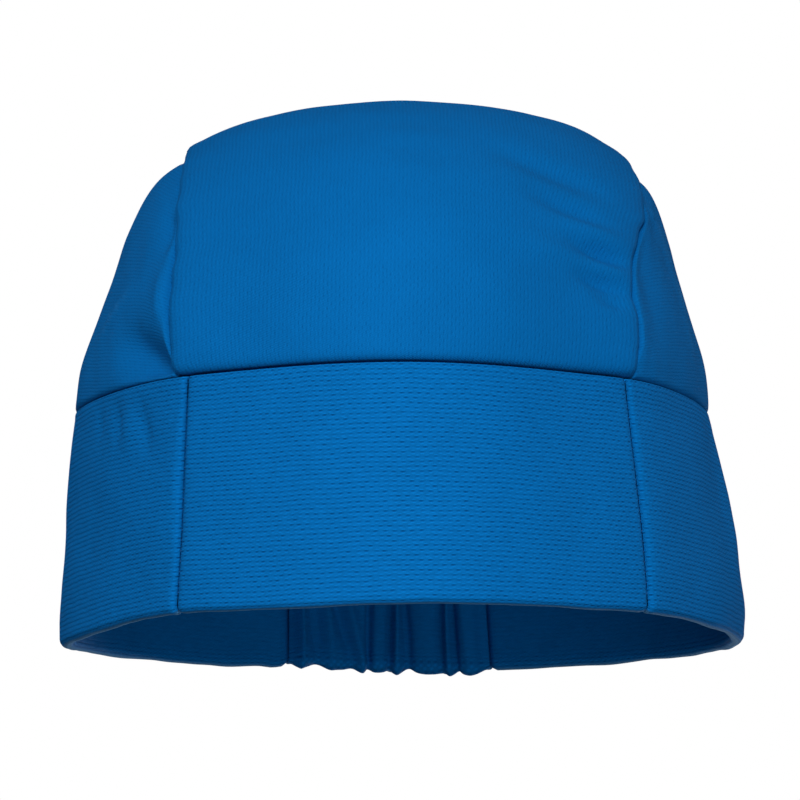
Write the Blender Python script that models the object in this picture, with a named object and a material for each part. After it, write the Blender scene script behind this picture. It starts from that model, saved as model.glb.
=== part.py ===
"""A sewn sports skull cap: a knitted crown of three panels on a folded brow band, gathered at the nape.

Frame: origin at the centre of the hem, on the surface that the hem rests on. +Z up, the wearer looks
along -Y, so the wearer's left side is at +X. Every cloth piece is a surface in the middle of its cloth,
with a Solidify modifier for the cloth's thickness. Neighbouring cuts stay a seam gap apart.
"""

import math

import bpy
from mathutils import Vector

# Driving dimensions, in metres.
HEM_HALF_WIDTH = 0.0860
HEM_HALF_DEPTH = 0.1030
BAND_TOP_HALF_WIDTH = 0.0790
BAND_TOP_HALF_DEPTH = 0.0965
BAND_HEIGHT = 0.0565
CAP_HEIGHT = 0.1337
CROWN_STRIP_HALF_WIDTH = 0.0550
KNIT_THICKNESS = 0.0009
PAD_THICKNESS = 0.0012
ELASTIC_THICKNESS = 0.0012
ELASTIC_HEIGHT = 0.0400
SEAM_ALLOWANCE_WIDTH = 0.0050
SEAM_ALLOWANCE_THICKNESS = 0.0014
LABEL_WIDTH = 0.0220
LABEL_DROP = 0.0280
LABEL_THICKNESS = 0.0004
CLEARANCE = 0.0003
SEAM_GAP = 0.0005
# How deep the cloth rolls in at a seam, and how far from the seam it starts to.
SEAM_ROLL = 0.0012
SEAM_ROLL_REACH = 0.0050

# Powers of the curves: 2 gives an ellipse, more is squarer.
OUTLINE_POWER = 1.85
CROWN_POWER_ACROSS = 2.80
CROWN_POWER_ALONG = 1.95
# The plan is an egg: wider by this share of its width at the nape and narrower by it at the brow.
EGG = 0.10
# The crown is drawn in by this share of its width halfway up.
CROWN_WAIST = 0.072

# Where the band's seams are, in degrees round from the front.
FRONT_SEAM = 39.7
REAR_SEAM = 165.0
GATHER_COUNT = 8
GATHER_DEPTH = 0.0018
GATHER_STEP_REACH = 8.0
GATHER_LIFT = 0.0001

# Derived sizes.
CROWN_RISE = CAP_HEIGHT - BAND_HEIGHT
OUTER_WALL = KNIT_THICKNESS / 2
CAVITY = PAD_THICKNESS + 2 * CLEARANCE
INNER_WALL = OUTER_WALL + KNIT_THICKNESS + CAVITY
BAND_THICKNESS = INNER_WALL + KNIT_THICKNESS / 2
MIDDLE_OF_CAVITY = (OUTER_WALL + INNER_WALL) / 2


def clear_scene():
    for obj in list(bpy.data.objects):
        bpy.data.objects.remove(obj)


def between(start, end, count):
    """count numbers spread evenly from start to end."""
    return [start + (end - start) * i / (count - 1) for i in range(count)]


def material(name, colour, roughness):
    made = bpy.data.materials.get(name)
    if made is None:
        made = bpy.data.materials.new(name)
        made.use_nodes = True
        shader = made.node_tree.nodes["Principled BSDF"]
        shader.inputs["Base Color"].default_value = (*colour, 1.0)
        shader.inputs["Roughness"].default_value = roughness
        shader.inputs["Metallic"].default_value = 0.0
    return made


def crown_knit():
    return material("blue_bird_eye_knit", (0.003, 0.110, 0.370), 0.85)


def band_knit():
    return material("blue_band_knit", (0.003, 0.130, 0.420), 0.85)


def absorbent_pad():
    return material("absorbent_pad", (0.55, 0.62, 0.68), 0.95)


def woven_elastic():
    return material("woven_elastic", (0.80, 0.80, 0.78), 0.80)


def overlock_thread():
    return material("overlock_thread", (0.004, 0.105, 0.340), 0.75)


def label_satin():
    return material("label_satin", (0.82, 0.82, 0.80), 0.45)


def cloth(name, rows, thickness, finish, closed=False):
    """A solid sheet of cloth through a grid of points. closed joins the last column to the first."""
    mesh = bpy.data.meshes.new(name)
    columns = len(rows[0])
    points = [tuple(point) for row in rows for point in row]
    faces = []
    for i in range(len(rows) - 1):
        for j in range(columns if closed else columns - 1):
            k = (j + 1) % columns
            faces.append((i * columns + j, (i + 1) * columns + j, (i + 1) * columns + k, i * columns + k))
    mesh.from_pydata(points, [], faces)
    mesh.shade_smooth()
    obj = bpy.data.objects.new(name, mesh)
    bpy.context.collection.objects.link(obj)
    solid = obj.modifiers.new("cloth_thickness", "SOLIDIFY")
    solid.thickness = thickness
    solid.offset = 0
    solid.use_even_offset = True
    mesh.materials.append(finish)
    return obj


def seam_roll(distance):
    """How deep the cloth has rolled in at this distance from its seam."""
    share = min(distance / SEAM_ROLL_REACH, 1)
    return SEAM_ROLL * (1 - share) ** 2


# The band.


def egg_shaped(x, y, half_depth):
    """x drawn in towards the brow and let out towards the nape."""
    return x * (1 + EGG * y / half_depth)


def on_outline(degrees, half_width, half_depth):
    """A point on the plan outline, degrees round from the front towards +X."""
    s = math.sin(math.radians(degrees))
    c = -math.cos(math.radians(degrees))
    power = OUTLINE_POWER
    radius = (abs(s / half_width) ** power + abs(c / half_depth) ** power) ** (-1 / power)
    return Vector((egg_shaped(radius * s, radius * c, half_depth), radius * c, 0))


def outline_point(degrees, half_width, half_depth, inset):
    """A point on the plan outline, moved inwards by inset."""
    step = 0.05
    before = on_outline(degrees - step, half_width, half_depth)
    course = on_outline(degrees + step, half_width, half_depth) - before
    out = Vector((course.y, -course.x, 0)).normalized()
    return on_outline(degrees, half_width, half_depth) - inset * out


def band_point(degrees, height, inset):
    """A point of the band, whose wall leans in from the hem to the seam at its top."""
    share = height / BAND_HEIGHT
    half_width = HEM_HALF_WIDTH + (BAND_TOP_HALF_WIDTH - HEM_HALF_WIDTH) * share
    half_depth = HEM_HALF_DEPTH + (BAND_TOP_HALF_DEPTH - HEM_HALF_DEPTH) * share
    point = outline_point(degrees, half_width, half_depth, inset)
    point.z = height
    return point


def fold_line():
    """(inset, height) down the outer wall, round the fold at the hem and up the inner wall."""
    radius = (INNER_WALL - OUTER_WALL) / 2
    turn = [math.radians(a) for a in (36, 72, 108, 144)]
    # The lowest facet of the fold, between 72 and 108 degrees, lies on the floor.
    centre = KNIT_THICKNESS / 2 + radius * math.sin(turn[1])
    top = BAND_HEIGHT - SEAM_GAP / 2
    below_top = (0, 0.0015, 0.0040, 0.0120, 0.0300)
    heights = [top - down for down in below_top] + [centre]
    line = [(OUTER_WALL + seam_roll(top - z), z) for z in heights]
    line += [(MIDDLE_OF_CAVITY - radius * math.cos(a), centre - radius * math.sin(a)) for a in turn]
    line += [(INNER_WALL + seam_roll(top - z), z) for z in reversed(heights)]
    return line


def gather(degrees):
    """How far the gathered cloth at the nape dips between its folds, from 0 at a ridge to 1 in a valley."""
    share = (degrees - REAR_SEAM) / (360 - 2 * REAR_SEAM)
    return 0.5 - 0.5 * math.cos(2 * math.pi * GATHER_COUNT * share)


def folded_band(name, start, end, stations, gathered=False):
    """A panel cut at double height and folded at the hem, between two seams."""
    half_gap = math.degrees(SEAM_GAP / 2 / HEM_HALF_WIDTH)
    angles = between(start + half_gap, end - half_gap, stations)
    # The gathered hem stays a hair above the flat hem that the cap rests on.
    lift = GATHER_LIFT if gathered else 0
    rows = []
    for inset, height in fold_line():
        row = []
        for angle in angles:
            dip = GATHER_DEPTH * gather(angle) if gathered else 0
            inner = inset >= MIDDLE_OF_CAVITY
            # The inner wall stands back by two fold depths, and its ridges face the outer wall's.
            shift = 2 * GATHER_DEPTH - dip if gathered and inner else dip
            row.append(band_point(angle, height + lift * (1 - height / BAND_HEIGHT), inset + shift))
        rows.append(row)
    return cloth(name, rows, KNIT_THICKNESS, band_knit())


def in_cavity(name, start, end, low, high, inset, thickness, stations, finish):
    """A flat piece held between the band's two walls."""
    angles = between(start, end, stations)
    rows = [[band_point(angle, height, inset) for angle in angles] for height in between(high, low, 4)]
    return cloth(name, rows, thickness, finish)


def make_band():
    folded_band("brow_band_front", -FRONT_SEAM, FRONT_SEAM, 15)
    folded_band("side_band_left", FRONT_SEAM, REAR_SEAM, 23)
    folded_band("side_band_right", -REAR_SEAM, -FRONT_SEAM, 23)
    folded_band("rear_elastic_casing", REAR_SEAM, 360 - REAR_SEAM, 6 * GATHER_COUNT + 1, gathered=True)


def make_band_fillings():
    """The sweat pad in the brow, the elastic in the nape and the overlocked seams between the walls."""
    half = math.degrees(SEAM_ALLOWANCE_WIDTH / 2 / HEM_HALF_WIDTH)
    edge = 2 * half
    low, high = 0.0045, BAND_HEIGHT - SEAM_ROLL_REACH
    in_cavity(
        "brow_sweat_pad", -FRONT_SEAM + edge, FRONT_SEAM - edge, low, high,
        MIDDLE_OF_CAVITY, PAD_THICKNESS, 13, absorbent_pad(),
    )
    middle = BAND_HEIGHT / 2
    in_cavity(
        "rear_elastic_band", REAR_SEAM + half, 360 - REAR_SEAM - half,
        middle - ELASTIC_HEIGHT / 2, middle + ELASTIC_HEIGHT / 2,
        MIDDLE_OF_CAVITY + GATHER_DEPTH, ELASTIC_THICKNESS, 9, woven_elastic(),
    )
    seams = {
        "front_left": FRONT_SEAM,
        "front_right": -FRONT_SEAM,
        "rear_left": REAR_SEAM - 1.2 * half,
        "rear_right": 1.2 * half - REAR_SEAM,
    }
    for side, angle in seams.items():
        in_cavity(
            "overlock_seam_" + side, angle - half, angle + half, low, high,
            MIDDLE_OF_CAVITY, PAD_THICKNESS, 3, overlock_thread(),
        )


# The crown.


def crown_half_sizes(rise):
    """The half-width and half-depth of the crown's outline at this height above the band."""
    share = min(max(rise / CROWN_RISE, 0), 0.99999)
    waist = 1 - CROWN_WAIST * math.sin(math.pi * share) ** 2
    across = (1 - share ** CROWN_POWER_ACROSS) ** (1 / CROWN_POWER_ACROSS) * waist
    along = (1 - share ** CROWN_POWER_ALONG) ** (1 / CROWN_POWER_ALONG)
    return BAND_TOP_HALF_WIDTH * across, BAND_TOP_HALF_DEPTH * along


def crown_level(x, y, rise):
    """1 on the crown's surface, less inside it."""
    half_width, half_depth = crown_half_sizes(rise)
    across = abs(x) / (half_width * max(1 + EGG * y / half_depth, EGG))
    return (across ** OUTLINE_POWER + abs(y / half_depth) ** OUTLINE_POWER) ** (1 / OUTLINE_POWER)


def crown_rise(x, y):
    """The crown's height above the band at this point of the plan, by halving the interval."""
    low, high = 0.0, CROWN_RISE
    for _ in range(40):
        middle = (low + high) / 2
        if crown_level(x, y, middle) < 1:
            low = middle
        else:
            high = middle
    return (low + high) / 2


def crown_normal(x, y, rise):
    """The outward direction of the crown's surface, which is level at its very top."""
    step = 1e-6
    if math.hypot(x, y) < 1e-4:
        return Vector((0, 0, 1))
    return Vector((
        crown_level(x + step, y, rise) - crown_level(x - step, y, rise),
        crown_level(x, y + step, rise) - crown_level(x, y - step, rise),
        crown_level(x, y, rise + step) - crown_level(x, y, max(rise - step, 0)),
    )).normalized()


def on_crown(x, y, rise, inset):
    """A point of the crown's surface, moved inwards by inset and rolled in at the band's seam."""
    placed = Vector((x, y, rise)) - (inset + seam_roll(rise)) * crown_normal(x, y, rise)
    placed.z = max(placed.z, 0) + BAND_HEIGHT + SEAM_GAP / 2
    return placed


def crown_reach(x, way):
    """Where at x the crown meets the band: towards the brow where way is -1, the nape where it is 1."""
    low, high = 0.0, BAND_TOP_HALF_DEPTH
    for _ in range(40):
        middle = (low + high) / 2
        if crown_level(x, way * middle, 0) < 1:
            low = middle
        else:
            high = middle
    return way * low


def seam_line(x, steps=360):
    """The crown's line at x from the band's seam at the front over the top to the one at the back."""
    front, back = crown_reach(x, -1), crown_reach(x, 1)
    line = []
    for angle in between(-math.pi / 2, math.pi / 2, steps + 1):
        y = (front + back) / 2 + (back - front) / 2 * math.sin(angle)
        line.append(Vector((x, y, crown_rise(x, y))))
    line[0].z = 0
    line[-1].z = 0
    return line


def at_shares(points, shares):
    """The points that lie at these shares of the length of a line of many."""
    along = [0.0]
    for a, b in zip(points, points[1:]):
        along.append(along[-1] + (b - a).length)
    found, k = [], 0
    for share in shares:
        target = share * along[-1]
        while k < len(points) - 2 and along[k + 1] < target:
            k += 1
        part = (target - along[k]) / (along[k + 1] - along[k])
        found.append(points[k].lerp(points[k + 1], min(max(part, 0), 1)))
    return found


def front_to_back(x, inset, count, trim=0.0):
    line = at_shares(seam_line(x), between(trim, 1 - trim, count))
    return [on_crown(*point, inset) for point in line]


def crown_strip():
    half = CROWN_STRIP_HALF_WIDTH - SEAM_GAP / 2
    rows = [front_to_back(x, OUTER_WALL, 37) for x in between(-half, half, 13)]
    return cloth("crown_centre_panel", rows, KNIT_THICKNESS, crown_knit())


def angle_at(x, y, half_depth):
    """The outline's degrees at this point of it."""
    return math.degrees(math.atan2(x / (1 + EGG * y / half_depth), -y))


def crown_side(name, side):
    """The half-moon panel between the centre panel's edge and the band, over the ear."""
    top_edge = CROWN_STRIP_HALF_WIDTH + SEAM_GAP
    front, back = (angle_at(top_edge, crown_reach(top_edge, way), BAND_TOP_HALF_DEPTH) for way in (-1, 1))
    # The columns crowd together towards the panel's two pointed ends.
    shares = [(1 - math.cos(math.pi * step)) / 2 for step in between(0.05, 0.95, 27)]
    upper = at_shares(seam_line(top_edge), shares)
    down = between(0, 1, 11)
    columns = []
    for share, top in zip(shares, upper):
        upper_angle = angle_at(top.x, top.y, crown_half_sizes(top.z)[1])
        foot_angle = front + (back - front) * share
        column = []
        for step in down:
            angle = upper_angle + (foot_angle - upper_angle) * step
            rise = top.z * (1 - step)
            plan = on_outline(angle, *crown_half_sizes(rise))
            # The side panel is caught under the edge of the centre panel.
            tuck = seam_roll(step * (top.z + SEAM_ROLL))
            column.append(on_crown(plan.x, plan.y, rise, OUTER_WALL + tuck))
        columns.append(column)
    for column in columns:
        for point in column:
            point.x *= side
    rows = [list(row) for row in zip(*columns)]
    return cloth(name, rows, KNIT_THICKNESS, crown_knit())


def make_crown():
    crown_strip()
    crown_side("crown_side_panel_left", 1)
    crown_side("crown_side_panel_right", -1)


def make_inner_seams():
    """The overlocked seam allowances that show inside the cap."""
    inset = KNIT_THICKNESS + SEAM_ROLL + CLEARANCE + SEAM_ALLOWANCE_THICKNESS / 2
    half = SEAM_ALLOWANCE_WIDTH / 2
    for side, sign in (("left", 1), ("right", -1)):
        edges = (CROWN_STRIP_HALF_WIDTH - half, CROWN_STRIP_HALF_WIDTH, CROWN_STRIP_HALF_WIDTH + half)
        rows = [front_to_back(sign * x, inset, 37, trim=0.012) for x in edges]
        cloth("overlock_crown_seam_" + side, rows, SEAM_ALLOWANCE_THICKNESS, overlock_thread())
    heights = (BAND_HEIGHT - SEAM_ALLOWANCE_WIDTH, BAND_HEIGHT - SEAM_GAP)
    depth = BAND_THICKNESS + SEAM_ROLL + CLEARANCE + SEAM_ALLOWANCE_THICKNESS / 2
    rows = []
    for height in heights:
        row = []
        for angle in between(-180, 180, 97)[:-1]:
            # The ring steps inwards to pass the gathers at the nape.
            past_seam = (abs(angle) - REAR_SEAM) / GATHER_STEP_REACH + 1
            row.append(band_point(angle, height, depth + 2 * GATHER_DEPTH * min(max(past_seam, 0), 1)))
        rows.append(row)
    cloth("overlock_band_join_seam", rows, SEAM_ALLOWANCE_THICKNESS, overlock_thread(), closed=True)


def make_care_label():
    """A blank folded satin loop that hangs inside the side band, behind the wearer's left ear."""
    centre = 140.0
    half = math.degrees(LABEL_WIDTH / 2 / HEM_HALF_DEPTH)
    top = BAND_HEIGHT - SEAM_ALLOWANCE_WIDTH - 3 * CLEARANCE
    depth = BAND_THICKNESS + SEAM_ROLL + 2 * CLEARANCE
    layers = (depth, depth + 3 * LABEL_THICKNESS)
    angles = between(centre - half, centre + half, 5)
    line = [(layers[0], z) for z in between(top, top - LABEL_DROP, 4)]
    line += [(layers[1], z) for z in between(top - LABEL_DROP, top, 4)]
    rows = [[band_point(angle, z, inset) for angle in angles] for inset, z in line]
    cloth("care_label", rows, LABEL_THICKNESS, label_satin())


clear_scene()
make_band()
make_band_fillings()
make_crown()
make_inner_seams()
make_care_label()
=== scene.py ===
"""Looks of the sports skull cap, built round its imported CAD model.

Cloth is worked out in millimetres as grids of points, and turned into metres when its mesh is made.
An angle goes round from the front of the cap towards the wearer's left, which is +X.
"""

import bpy
import numpy as np
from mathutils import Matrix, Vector


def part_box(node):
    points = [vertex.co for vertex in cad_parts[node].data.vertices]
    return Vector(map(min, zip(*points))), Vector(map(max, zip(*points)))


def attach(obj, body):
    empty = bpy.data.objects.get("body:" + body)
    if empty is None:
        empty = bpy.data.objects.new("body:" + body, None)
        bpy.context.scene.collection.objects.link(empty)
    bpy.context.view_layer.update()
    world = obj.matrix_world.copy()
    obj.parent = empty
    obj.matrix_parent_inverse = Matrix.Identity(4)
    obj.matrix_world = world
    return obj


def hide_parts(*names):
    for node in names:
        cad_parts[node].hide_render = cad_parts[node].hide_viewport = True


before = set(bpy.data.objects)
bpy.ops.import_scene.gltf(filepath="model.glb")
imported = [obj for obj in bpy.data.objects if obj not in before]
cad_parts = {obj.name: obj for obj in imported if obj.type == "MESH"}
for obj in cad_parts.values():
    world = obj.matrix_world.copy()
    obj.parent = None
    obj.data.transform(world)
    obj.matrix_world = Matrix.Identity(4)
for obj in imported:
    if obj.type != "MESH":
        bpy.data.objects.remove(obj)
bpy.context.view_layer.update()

MM = 0.001

# Curves of the CAD model's surface: powers, the egg shape of the plan and the draw-in of the crown.
OUTLINE_POWER = 1.85
CROWN_POWER_ACROSS = 2.80
CROWN_POWER_ALONG = 1.95
CROWN_WAIST = 0.072
EGG = 0.10

# The soft cap stands this much above the CAD model's hem, so that its hem can dip at the sides.
RISE = 1.8

# Cloth and what lies between two walls of it.
CLOTH = 0.9
CAVITY = 1.8
BAND_THICKNESS = 2 * CLOTH + CAVITY
FOLD_RADIUS = BAND_THICKNESS / 2


# Small tools for grids of numbers.


def smooth(low, high, x):
    """0 below low, 1 above high, and an even slope between."""
    t = np.clip((x - low) / (high - low), 0, 1)
    return t * t * (3 - 2 * t)


def between(a, b, t):
    return a + (b - a) * t


def waves(u, v, wavelength, seed, count=7):
    """Uneven ripples of about this wavelength, between about -1 and 1, the same on every run."""
    rng = np.random.default_rng(seed)
    total = np.zeros(np.broadcast(u, v).shape)
    for _ in range(count):
        turn, phase = rng.uniform(0, 2 * np.pi, 2)
        number = 2 * np.pi / (wavelength * rng.uniform(0.75, 1.35))
        total += np.sin(number * (np.cos(turn) * u + np.sin(turn) * v) + phase)
    return total / count ** 0.5 / 1.4


def fold(u, v, start, end, width, height):
    """A ridge, or a valley where height is negative, along the line from start to end."""
    along = np.subtract(end, start)
    t = ((u - start[0]) * along[0] + (v - start[1]) * along[1]) / (along @ along)
    t = np.clip(t, 0, 1)
    away = np.hypot(u - start[0] - t * along[0], v - start[1] - t * along[1])
    return height * (0.25 + 0.75 * np.sin(np.pi * t)) * np.exp(-((away / width) ** 2))


def folds(u, v, strokes):
    total = np.zeros(np.broadcast(u, v).shape)
    for stroke in strokes:
        total += fold(u, v, *stroke)
    return total


def seam_roll(distance, radius):
    """How deep cloth that turns in at a seam has gone, at this distance from the seam."""
    t = np.clip(1 - distance / radius, 0, 1)
    return radius * (1 - np.sqrt(np.maximum(1 - t * t, 0)))


def crowded(count, share):
    """Numbers from 0 to 1 that lie closer together near both ends, the more so the greater the share."""
    t = np.linspace(0, 1, count)
    return between(t, (1 - np.cos(np.pi * t)) / 2, share)


def run_lengths(points):
    """The distance along each row of a grid of points, from its first point."""
    steps = np.linalg.norm(np.diff(points, axis=1), axis=2)
    return np.concatenate([np.zeros((len(points), 1)), np.cumsum(steps, axis=1)], axis=1)


def grid_normals(points):
    """The direction square to a grid of points: rows cross columns."""
    down, along = np.gradient(points, axis=(0, 1))
    out = np.cross(down, along)
    return out / np.maximum(np.linalg.norm(out, axis=-1, keepdims=True), 1e-9)


# The cap's shape, as in the CAD model.


def egg_outline(angle, half_width, half_depth):
    """(x, y) on the plan's outline, which is wider at the nape than at the brow."""
    s, c = np.sin(angle), -np.cos(angle)
    radius = (np.abs(s / half_width) ** OUTLINE_POWER + np.abs(c / half_depth) ** OUTLINE_POWER)
    radius = radius ** (-1 / OUTLINE_POWER)
    return radius * s * (1 + EGG * radius * c / half_depth), radius * c


def outline_out(angle, half_width, half_depth):
    """The direction out of the plan's outline."""
    step = 1e-3
    x0, y0 = egg_outline(angle - step, half_width, half_depth)
    x1, y1 = egg_outline(angle + step, half_width, half_depth)
    size = np.hypot(x1 - x0, y1 - y0)
    return (y1 - y0) / size, (x0 - x1) / size


def angle_of_width(x, half_width, half_depth, start, end):
    """The angle between start and end at which the outline is x from the middle."""
    angles = np.linspace(start, end, 2000)
    widths = egg_outline(angles, half_width, half_depth)[0]
    order = np.argsort(widths)
    return np.interp(x, widths[order], angles[order])


def low_mm(node):
    return np.array(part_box(node)[0]) / MM


def high_mm(node):
    return np.array(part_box(node)[1]) / MM


# Driving sizes from the CAD model's boxes. Its facets and seam gaps take a little off them.
FACET = 0.2
SEAM_GAP = 0.25
HEM_WIDTH = high_mm("side_band_left")[0]
HEM_DEPTH = high_mm("rear_elastic_casing")[1] + FACET
TOP_WIDTH = high_mm("crown_side_panel_left")[0] + FACET
TOP_DEPTH = high_mm("crown_centre_panel")[1] + 2 * FACET
BAND_HEIGHT = high_mm("brow_band_front")[2]
CAP_TOP = high_mm("crown_centre_panel")[2]
CROWN_RISE = CAP_TOP - BAND_HEIGHT
STRIP_HALF = high_mm("crown_centre_panel")[0] + SEAM_GAP
FRONT_SEAM = angle_of_width(high_mm("brow_band_front")[0] + SEAM_GAP, HEM_WIDTH, HEM_DEPTH, 0, 1.2)
REAR_SEAM = angle_of_width(high_mm("rear_elastic_casing")[0] + SEAM_GAP, HEM_WIDTH, HEM_DEPTH, 2.4, np.pi)


def band_point(angle, height, inset):
    """A point of the band, inset behind its outer face."""
    t = height / BAND_HEIGHT
    sizes = between(HEM_WIDTH, TOP_WIDTH, t), between(HEM_DEPTH, TOP_DEPTH, t)
    x, y = egg_outline(angle, *sizes)
    out_x, out_y = outline_out(angle, *sizes)
    return np.stack([x - inset * out_x, y - inset * out_y, height + 0 * x], axis=-1)


def crown_sizes(rise):
    t = np.clip(rise / CROWN_RISE, 0, 0.99999)
    across = (1 - t ** CROWN_POWER_ACROSS) ** (1 / CROWN_POWER_ACROSS)
    across = across * (1 - CROWN_WAIST * np.sin(np.pi * t) ** 2)
    along = (1 - t ** CROWN_POWER_ALONG) ** (1 / CROWN_POWER_ALONG)
    return TOP_WIDTH * across, TOP_DEPTH * along


def crown_level(x, y, rise):
    """1 on the crown's surface, less inside it."""
    half_width, half_depth = crown_sizes(rise)
    across = np.abs(x) / (half_width * np.maximum(1 + EGG * y / half_depth, EGG))
    plan = across ** OUTLINE_POWER + np.abs(y / half_depth) ** OUTLINE_POWER
    return plan ** (1 / OUTLINE_POWER)


def halving(level_at, high):
    """Where level_at reaches 1 between 0 and high, for a whole grid at once."""
    low = np.zeros_like(high)
    for _ in range(36):
        middle = (low + high) / 2
        inside = level_at(middle) < 1
        low, high = np.where(inside, middle, low), np.where(inside, high, middle)
    return (low + high) / 2


def crown_rise(x, y):
    """The crown's height above the band at this place in the plan."""
    top = np.full(np.broadcast(x, y).shape, CROWN_RISE)
    return halving(lambda rise: crown_level(x, y, rise), top)


def crown_reach(x, way):
    """Where at x the crown meets the band: towards the brow where way is -1, the nape where it is 1."""
    return way * halving(lambda y: crown_level(x, way * y, 0 * y), np.full(np.shape(x), TOP_DEPTH))


def crown_out(x, y, rise):
    """The direction out of the crown."""
    step = 1e-3
    out = np.stack([
        crown_level(x + step, y, rise) - crown_level(x - step, y, rise),
        crown_level(x, y + step, rise) - crown_level(x, y - step, rise),
        crown_level(x, y, rise + step) - crown_level(x, y, np.maximum(rise - step, 0)),
    ], axis=-1)
    size = np.linalg.norm(out, axis=-1, keepdims=True)
    return np.where(size > 1e-9, out / np.maximum(size, 1e-9), [0.0, 0.0, 1.0])


def crown_point(x, y, rise, proud):
    """A point that stands proud of the crown's surface, or behind it where proud is negative."""
    return np.stack([x, y, rise + BAND_HEIGHT], axis=-1) + proud[..., None] * crown_out(x, y, rise)


def crown_lines(x, shares):
    """The crown's lines at each x, at these shares of the way from the brow over the top to the nape."""
    x = np.asarray(x, float)
    front, back = crown_reach(x, -1)[:, None], crown_reach(x, 1)[:, None]
    swing = np.sin(np.linspace(-np.pi / 2, np.pi / 2, 361))[None, :]
    y = (front + back) / 2 + (back - front) / 2 * swing
    x = x[:, None] + 0 * y
    rise = crown_rise(x, y)
    rise[:, [0, -1]] = 0
    line = np.stack([x, y, rise], axis=-1)
    run = run_lengths(line)
    length = run[:, -1:]
    found = np.empty((len(line), len(shares), 3))
    for i in range(len(line)):
        for k in range(3):
            found[i, :, k] = np.interp(shares * length[i], run[i], line[i, :, k])
    return found, length


def outline_angle(x, y, half_depth):
    """The outline's angle at a point of it."""
    return np.arctan2(x / (1 + EGG * y / half_depth), -y)


# The seams in front of the ears are stiff and stand forward in a blunt edge, more so on the crown.
BLUNT_EDGE_X = 58
BLUNT_EDGE_WIDTH = 14
FORWARD_HEIGHTS = [0, 50, 62, 95, 124]
FORWARD = [3.0, 4.0, 6.5, 6.5, 0.0]
FORWARD_SHARE_ON_LEFT = 1.2

# The cap leans towards the wearer's right, most of all at the band's top.
LEAN_HEIGHTS = [0, 20, 57, 100, 134]
LEAN = [0.2, -0.6, -3.0, -1.8, 0.5]

# How far the hem hangs below its level, or above it where the drop is negative: degrees, half-width, drop.
HEM_DIPS = [
    (-84, 28, RISE), (84, 24, 0.2 * RISE), (-20, 18, 0.5), (-163.2, 2.0, 1.2),
    (41, 12, -0.4), (-47, 12, -0.4), (-167, 7, -1.7), (180, 7, -0.9), (-180, 7, -0.9),
]
# How far the hem turns in over the ears: degrees, half-width, depth.
HEM_CURLS = [(84, 30, 1.7), (-84, 30, 0.5)]
CURL_HEIGHT = 5.5


def settle(points):
    """How the soft cap leans, the same for every piece, so that the seams still meet."""
    x, y, z = np.moveaxis(points, -1, 0)
    share = np.where(x > 0, FORWARD_SHARE_ON_LEFT, 1.0)
    blunt = np.exp(-(((np.abs(x) - BLUNT_EDGE_X) / BLUNT_EDGE_WIDTH) ** 2)) * smooth(0, -35, y)
    moved = points.copy()
    moved[..., 0] += np.interp(z, LEAN_HEIGHTS, LEAN)
    moved[..., 1] -= share * np.interp(z, FORWARD_HEIGHTS, FORWARD) * blunt
    moved[..., 2] += RISE
    return moved


def bells(angle, table):
    """The sum of the bell curves in a table, at this angle of the cap."""
    degrees = np.degrees((angle + np.pi) % (2 * np.pi) - np.pi)
    return sum(height * np.exp(-(((degrees - place) / width) ** 2)) for place, width, height in table)


# Materials.


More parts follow.
